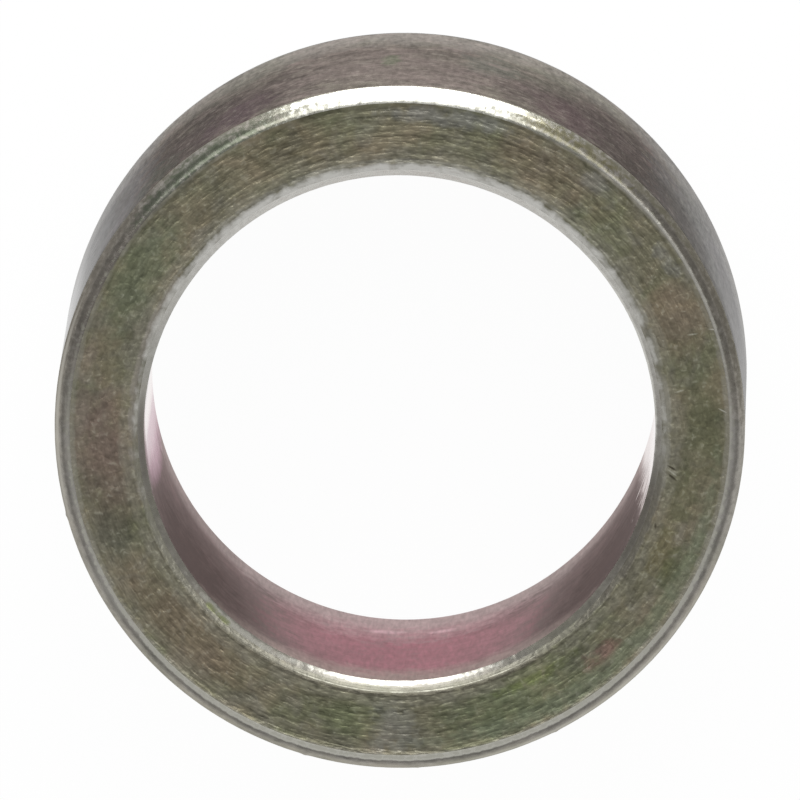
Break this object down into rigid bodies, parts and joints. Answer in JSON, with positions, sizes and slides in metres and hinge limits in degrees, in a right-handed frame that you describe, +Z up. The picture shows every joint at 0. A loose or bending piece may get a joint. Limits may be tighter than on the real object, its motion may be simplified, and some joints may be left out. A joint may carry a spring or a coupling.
{
  "type": "spacer ring",
  "caption": "Short thick-walled turned steel spacer ring with a plain bore, chamfered rims and a yellow-olive passivated zinc finish.",
  "frame": {"origin": "centre of the lower end face, on the bore's axis", "axes": "+Z up along the bore's axis, from the lower end face to the upper one; X and Y lie in the end face"},
  "size_m": [0.027, 0.027, 0.016],
  "materials": {
    "passivated_zinc_steel": "turned steel, zinc plated with a yellow-olive iridescent passivation, fine tooling marks, brighter worn edges"
  },
  "bodies": {
    "root": {"spacer_ring": "passivated_zinc_steel"}
  },
  "joints": []
}
